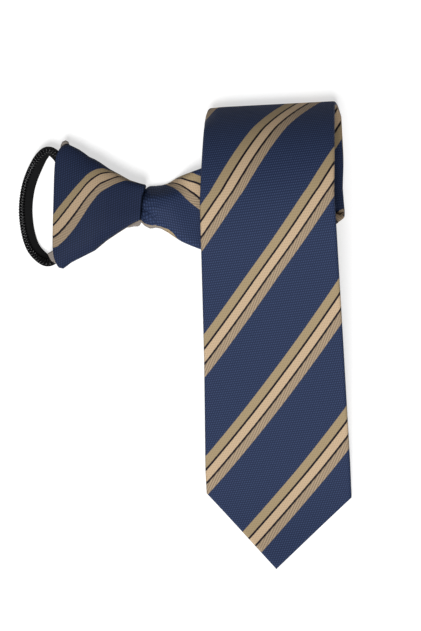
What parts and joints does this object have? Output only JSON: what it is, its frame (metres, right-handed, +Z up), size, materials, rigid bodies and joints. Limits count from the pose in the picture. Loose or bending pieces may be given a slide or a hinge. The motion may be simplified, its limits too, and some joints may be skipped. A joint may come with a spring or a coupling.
{
  "type": "zipper tie",
  "caption": "Pre-tied striped necktie with a zipper neck loop, lying flat with its blade folded under the knot's tail and rolled forward over itself.",
  "frame": {"origin": "bottom centre of the whole as it lies", "axes": "+Y from the blade's tip to the rolled fold, +X from the neck loop to the blade, +Z up off the surface"},
  "size_m": [0.1662, 0.2334, 0.0412],
  "materials": {
    "blade_twill": "satin striped twill",
    "knot_twill": "satin striped twill",
    "zipper_tape": "matte woven tape",
    "zipper_coil": "satin nylon",
    "slider_metal": "satin black"
  },
  "bodies": {
    "root": {"blade": "blade_twill", "knot": "knot_twill", "neck_tape": "zipper_tape", "neck_coil": "zipper_coil", "zipper_slider": "slider_metal", "zipper_chain": "zipper_tape", "bottom_stop": "slider_metal"}
  },
  "joints": []
}
